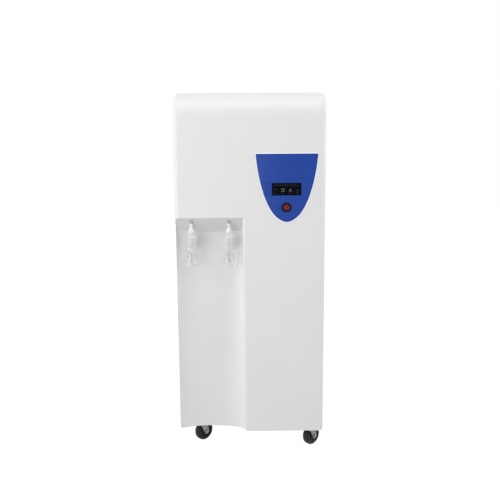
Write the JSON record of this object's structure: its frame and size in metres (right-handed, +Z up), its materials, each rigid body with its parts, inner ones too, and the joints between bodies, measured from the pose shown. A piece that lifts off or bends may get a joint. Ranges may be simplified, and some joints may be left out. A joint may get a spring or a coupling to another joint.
{
  "type": "ultrapure water system",
  "caption": "Floor-standing laboratory water purifier on swivel casters, with a shield-shaped control panel and outlets under a hood over a shallow dispensing bay.",
  "frame": {"origin": "on the floor, under the middle of the overall box", "axes": "+X to the right of someone facing the front, the front faces -Y, +Z up"},
  "size_m": [0.45, 0.5508, 1.115],
  "materials": {
    "white_shell": "satin",
    "painted_panel": "fine texture",
    "zinc_sheet": "zinc plated",
    "blue_panel": "satin",
    "smoked_window": "gloss",
    "black_plastic": "matte",
    "red_plastic": "gloss",
    "circuit_board": "matte",
    "aluminium_case": "satin",
    "grey_hose": "matte",
    "white_fitting": "satin",
    "clear_capsule": "translucent",
    "clear_bell": "clear",
    "pale_bowl": "gloss",
    "pump_paint": "satin",
    "stainless": "brushed",
    "tank_paint": "gloss",
    "blue_lever": "satin",
    "water_tube": "satin",
    "zinc_caster": "zinc plated",
    "black_wheel": "matte"
  },
  "bodies": {
    "cabinet": {"front_moulding": "white_shell", "top_panel": "painted_panel", "left_side_panel": "painted_panel", "right_side_panel": "painted_panel", "rear_panel": "painted_panel", "base_pan": "zinc_sheet", "frame_posts": "zinc_sheet", "equipment_shelf": "zinc_sheet", "mounting_plate": "zinc_sheet", "housing_clips": "zinc_sheet", "control_fascia": "blue_panel", "display_lens": "smoked_window", "display_module": "black_plastic", "power_switch_bezel": "black_plastic", "power_inlet": "black_plastic", "prefilter_head_1": "black_plastic", "prefilter_head_2": "black_plastic", "prefilter_head_3": "black_plastic", "control_board": "circuit_board", "power_supply": "aluminium_case", "outlet_stem_left": "grey_hose", "outlet_stem_right": "grey_hose", "outlet_union_left": "white_fitting", "outlet_union_right": "white_fitting", "tank_valve": "white_fitting", "feed_port": "white_fitting", "drain_port": "white_fitting", "ro_housing_1": "white_fitting", "ro_housing_2": "white_fitting", "dispense_valve_left": "white_fitting", "dispense_valve_right": "white_fitting", "capsule_filter_left": "clear_capsule", "capsule_filter_right": "clear_capsule", "filling_bell_left": "clear_bell", "filling_bell_right": "clear_bell", "prefilter_bowl_1": "pale_bowl", "prefilter_bowl_2": "pale_bowl", "prefilter_bowl_3": "pale_bowl", "di_cartridge_1": "pale_bowl", "di_cartridge_2": "pale_bowl", "booster_pump": "pump_paint", "uv_chamber": "stainless", "pressure_tank": "tank_paint", "internal_tubing": "water_tube", "panel_screws": "zinc_caster", "caster_plates": "zinc_caster"},
    "power_button_body": {"power_button": "red_plastic"},
    "tank_valve_lever_body": {"tank_valve_lever": "blue_lever"},
    "caster_front_left_swivel_body": {"caster_fork_front_left": "zinc_caster", "caster_axle_front_left": "zinc_caster"},
    "caster_front_left_wheel_body": {"caster_wheel_front_left": "black_wheel"},
    "caster_front_right_swivel_body": {"caster_fork_front_right": "zinc_caster", "caster_axle_front_right": "zinc_caster"},
    "caster_front_right_wheel_body": {"caster_wheel_front_right": "black_wheel"},
    "caster_rear_left_swivel_body": {"caster_fork_rear_left": "zinc_caster", "caster_axle_rear_left": "zinc_caster"},
    "caster_rear_left_wheel_body": {"caster_wheel_rear_left": "black_wheel"},
    "caster_rear_right_swivel_body": {"caster_fork_rear_right": "zinc_caster", "caster_axle_rear_right": "zinc_caster"},
    "caster_rear_right_wheel_body": {"caster_wheel_rear_right": "black_wheel"}
  },
  "joints": [
    {"name": "power_button_press", "type": "slide", "parent": "cabinet", "child": "power_button_body", "axis": [0, 1, 0], "range_m": [0, 0.003], "stiffness_N_per_m": 400, "springref_m": -0.002},
    {"name": "tank_valve_turn", "type": "hinge", "parent": "cabinet", "child": "tank_valve_lever_body", "pos_m": [-0.091, 0.0634, 0.478], "axis": [0, 0, 1], "range_deg": [0, 90]},
    {"name": "caster_front_left_swivel", "type": "hinge", "parent": "cabinet", "child": "caster_front_left_swivel_body", "pos_m": [-0.176, -0.1876, 0.079], "axis": [0, 0, 1], "continuous": true},
    {"name": "caster_front_left_roll", "type": "hinge", "parent": "caster_front_left_swivel_body", "child": "caster_front_left_wheel_body", "pos_m": [-0.15832, -0.16992, 0.0315], "axis": [-0.7071, 0.7071, 0], "continuous": true},
    {"name": "caster_front_right_swivel", "type": "hinge", "parent": "cabinet", "child": "caster_front_right_swivel_body", "pos_m": [0.176, -0.2256, 0.079], "axis": [0, 0, 1], "continuous": true},
    {"name": "caster_front_right_roll", "type": "hinge", "parent": "caster_front_right_swivel_body", "child": "caster_front_right_wheel_body", "pos_m": [0.19368, -0.20792, 0.0315], "axis": [-0.7071, 0.7071, 0], "continuous": true},
    {"name": "caster_rear_left_swivel", "type": "hinge", "parent": "cabinet", "child": "caster_rear_left_swivel_body", "pos_m": [-0.176, 0.1994, 0.079], "axis": [0, 0, 1], "continuous": true},
    {"name": "caster_rear_left_roll", "type": "hinge", "parent": "caster_rear_left_swivel_body", "child": "caster_rear_left_wheel_body", "pos_m": [-0.15832, 0.21708, 0.0315], "axis": [-0.7071, 0.7071, 0], "continuous": true},
    {"name": "caster_rear_right_swivel", "type": "hinge", "parent": "cabinet", "child": "caster_rear_right_swivel_body", "pos_m": [0.176, 0.1994, 0.079], "axis": [0, 0, 1], "continuous": true},
    {"name": "caster_rear_right_roll", "type": "hinge", "parent": "caster_rear_right_swivel_body", "child": "caster_rear_right_wheel_body", "pos_m": [0.19368, 0.21708, 0.0315], "axis": [-0.7071, 0.7071, 0], "continuous": true}
  ]
}
